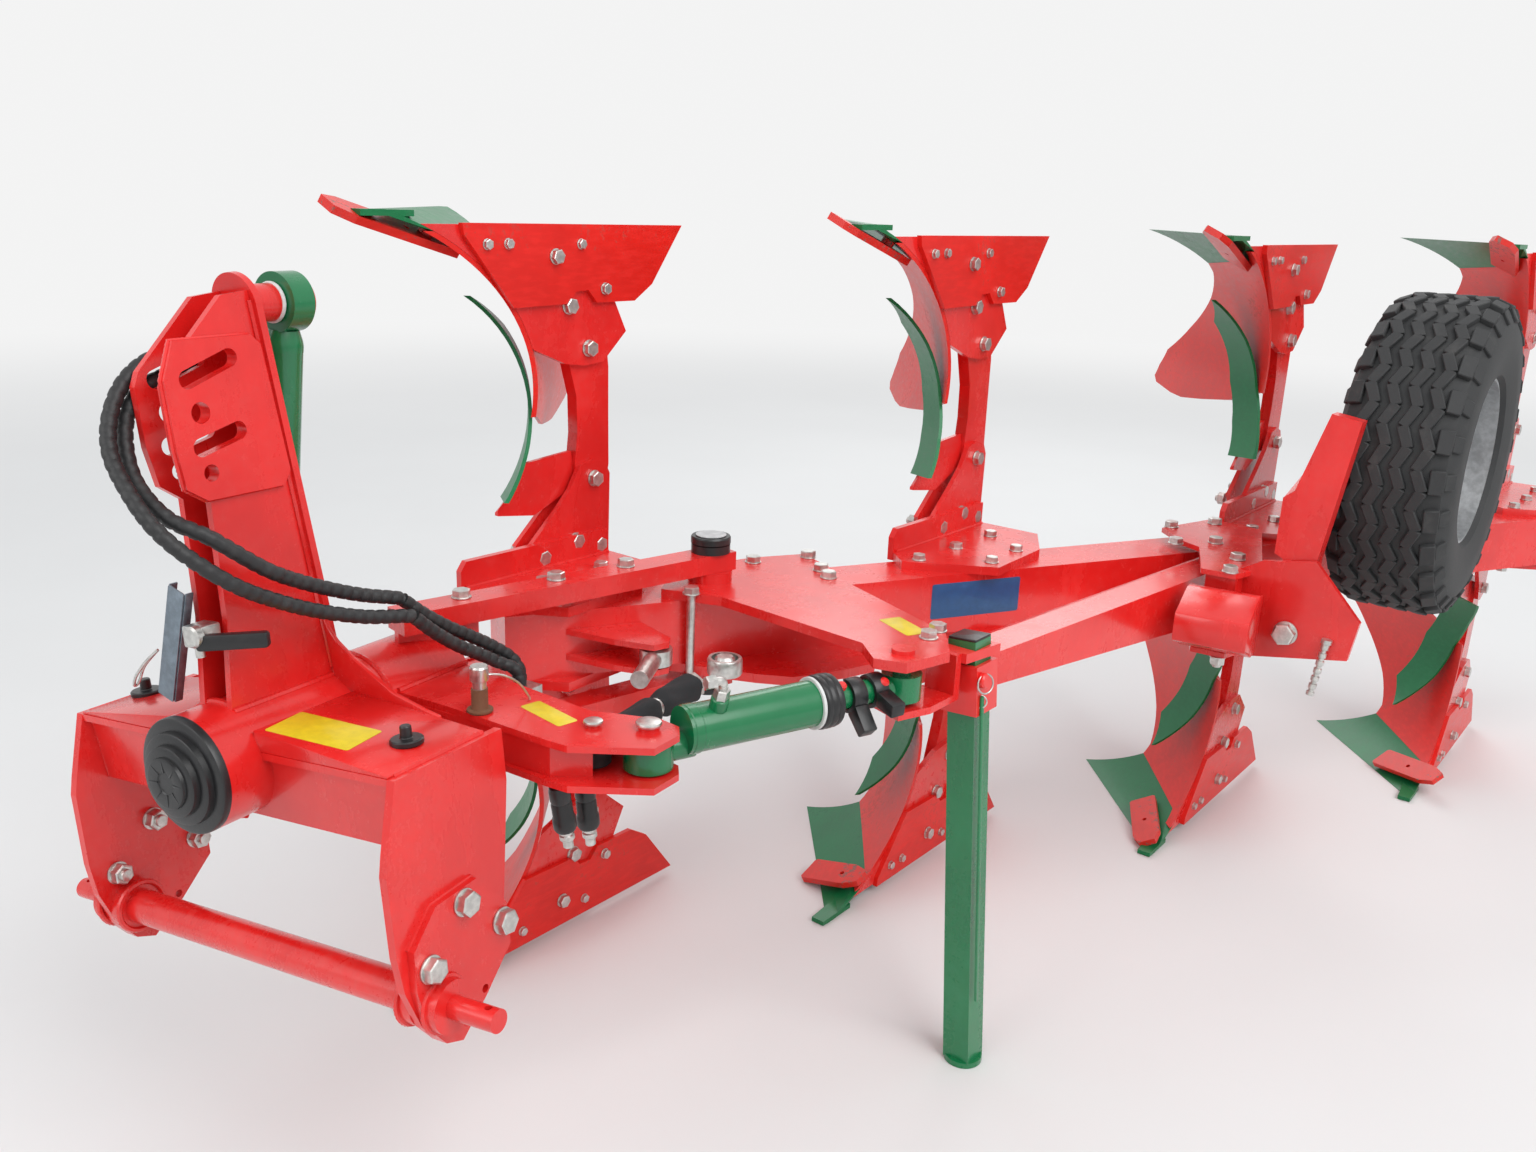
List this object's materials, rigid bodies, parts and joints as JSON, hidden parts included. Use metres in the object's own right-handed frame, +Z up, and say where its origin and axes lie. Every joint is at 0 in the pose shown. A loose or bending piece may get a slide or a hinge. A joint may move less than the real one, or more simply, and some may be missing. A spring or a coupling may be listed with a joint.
{
  "type": "moldboard plough",
  "caption": "Mounted reversible moldboard plough with turning headstock, angled beam, curved boards above and below, depth wheel swung up and stand leg down.",
  "frame": {"origin": "on the floor under the middle of the plough's bounding box", "axes": "+X forward along the turnover axis, the way of travel; +Y to the plough's left; +Z up"},
  "size_m": [4.1027, 2.9229, 1.7029],
  "materials": {
    "red_paint": "gloss powder coat",
    "green_paint": "gloss paint",
    "black_cast": "black painted casting",
    "rod_chrome": "polished",
    "rim_grey": "silver grey paint",
    "tyre": "matt, a little dusty",
    "black_rubber": "spiral wrapped hose",
    "zinc": "zinc plated"
  },
  "bodies": {
    "headstock": {"headstock_box": "red_paint", "headstock_side_plates": "red_paint", "mast_plates": "red_paint", "mast_flange": "red_paint", "lower_link_shaft": "red_paint", "bearing_cap": "black_cast", "front_hoses": "black_rubber"},
    "turnover_cylinder_barrel": {"turnover_barrel": "green_paint"},
    "turnover_cylinder_rod": {"turnover_rod": "rod_chrome"},
    "carriage": {"turning_hub": "red_paint", "cylinder_arm": "red_paint", "link_bars": "red_paint", "pivot_pin": "black_cast", "rear_hoses": "black_rubber", "hose_block": "zinc"},
    "width_cylinder_barrel": {"swing_barrel": "green_paint"},
    "width_cylinder_rod": {"swing_rod": "green_paint"},
    "link_cylinder": {"link_sleeve": "black_rubber", "link_rod_end": "zinc"},
    "beam": {"main_beam": "red_paint", "bracket_plates": "red_paint", "beam_strut": "red_paint", "upper_base_plates": "red_paint", "lower_base_plates": "red_paint", "upper_leg_brackets": "red_paint", "lower_leg_brackets": "red_paint", "upper_legs": "red_paint", "lower_legs": "red_paint", "upper_frogs": "red_paint", "lower_frogs": "red_paint", "upper_landsides": "red_paint", "lower_landsides": "red_paint", "upper_moldboards": "red_paint", "lower_moldboards": "red_paint", "upper_shares": "green_paint", "lower_shares": "green_paint", "upper_points": "red_paint", "lower_points": "red_paint", "upper_trashboards": "green_paint", "lower_trashboards": "green_paint", "upper_trashboard_lugs": "red_paint", "lower_trashboard_lugs": "red_paint", "link_lugs": "red_paint", "stand_socket": "red_paint", "wheel_bracket": "red_paint"},
    "stand": {"stand_leg": "green_paint"},
    "wheel_carrier": {"wheel_arm": "red_paint"},
    "wheel": {"wheel_rim": "rim_grey", "wheel_tyre": "tyre"}
  },
  "joints": [
    {"name": "turnover", "type": "hinge", "parent": "headstock", "child": "carriage", "pos_m": [1.5204, -0.9147, 0.84], "axis": [-1, 0, 0], "range_deg": [0, 180]},
    {"name": "turnover_cylinder_swing", "type": "hinge", "parent": "headstock", "child": "turnover_cylinder_barrel", "pos_m": [1.7084, -0.98179, 1.53678], "axis": [1, 0, 0], "range_deg": [0, 29.2]},
    {"name": "turnover_cylinder_stroke", "type": "slide", "parent": "turnover_cylinder_barrel", "child": "turnover_cylinder_rod", "axis": [0, -0.1323, -0.9912], "range_m": [-0.066, 0.281]},
    {"name": "width_cylinder_swing", "type": "hinge", "parent": "carriage", "child": "width_cylinder_barrel", "pos_m": [1.5444, -0.3777, 0.84], "axis": [0, 0, 1], "range_deg": [0, 5.3]},
    {"name": "width_cylinder_stroke", "type": "slide", "parent": "width_cylinder_barrel", "child": "width_cylinder_rod", "axis": [-0.8798, 0.4753, 0], "range_m": [0, 0.19]},
    {"name": "link_cylinder_swing", "type": "hinge", "parent": "carriage", "child": "link_cylinder", "pos_m": [1.5844, -0.4607, 0.84], "axis": [0, 0, -1], "range_deg": [0, 11.5]},
    {"name": "beam_swing", "type": "hinge", "parent": "carriage", "child": "beam", "pos_m": [0.8954, -0.6647, 0.84], "axis": [0, 0, 1], "range_deg": [0, 20]},
    {"name": "stand_slide", "type": "slide", "parent": "beam", "child": "stand", "axis": [-0.0124, -0.074, 0.9972], "range_m": [0, 0.4]},
    {"name": "depth_wheel_swing", "type": "hinge", "parent": "beam", "child": "wheel_carrier", "pos_m": [0.1235, 0.4301, 0.815], "axis": [-0.9863, 0.165, 0], "range_deg": [0, 141]},
    {"name": "depth_wheel_spin", "type": "hinge", "parent": "wheel_carrier", "child": "wheel", "pos_m": [-0.28359, 0.63307, 1.19], "axis": [0.165, 0.9863, 0], "continuous": true}
  ],
  "couplings": [
    {"joint": "turnover_cylinder_swing", "follows": "turnover", "ratio": 0.12136},
    {"joint": "width_cylinder_swing", "follows": "beam_swing", "ratio": 0.26109},
    {"joint": "width_cylinder_stroke", "follows": "beam_swing", "m_per_rad": 0.54236},
    {"joint": "link_cylinder_swing", "follows": "beam_swing", "ratio": 0.56847}
  ]
}
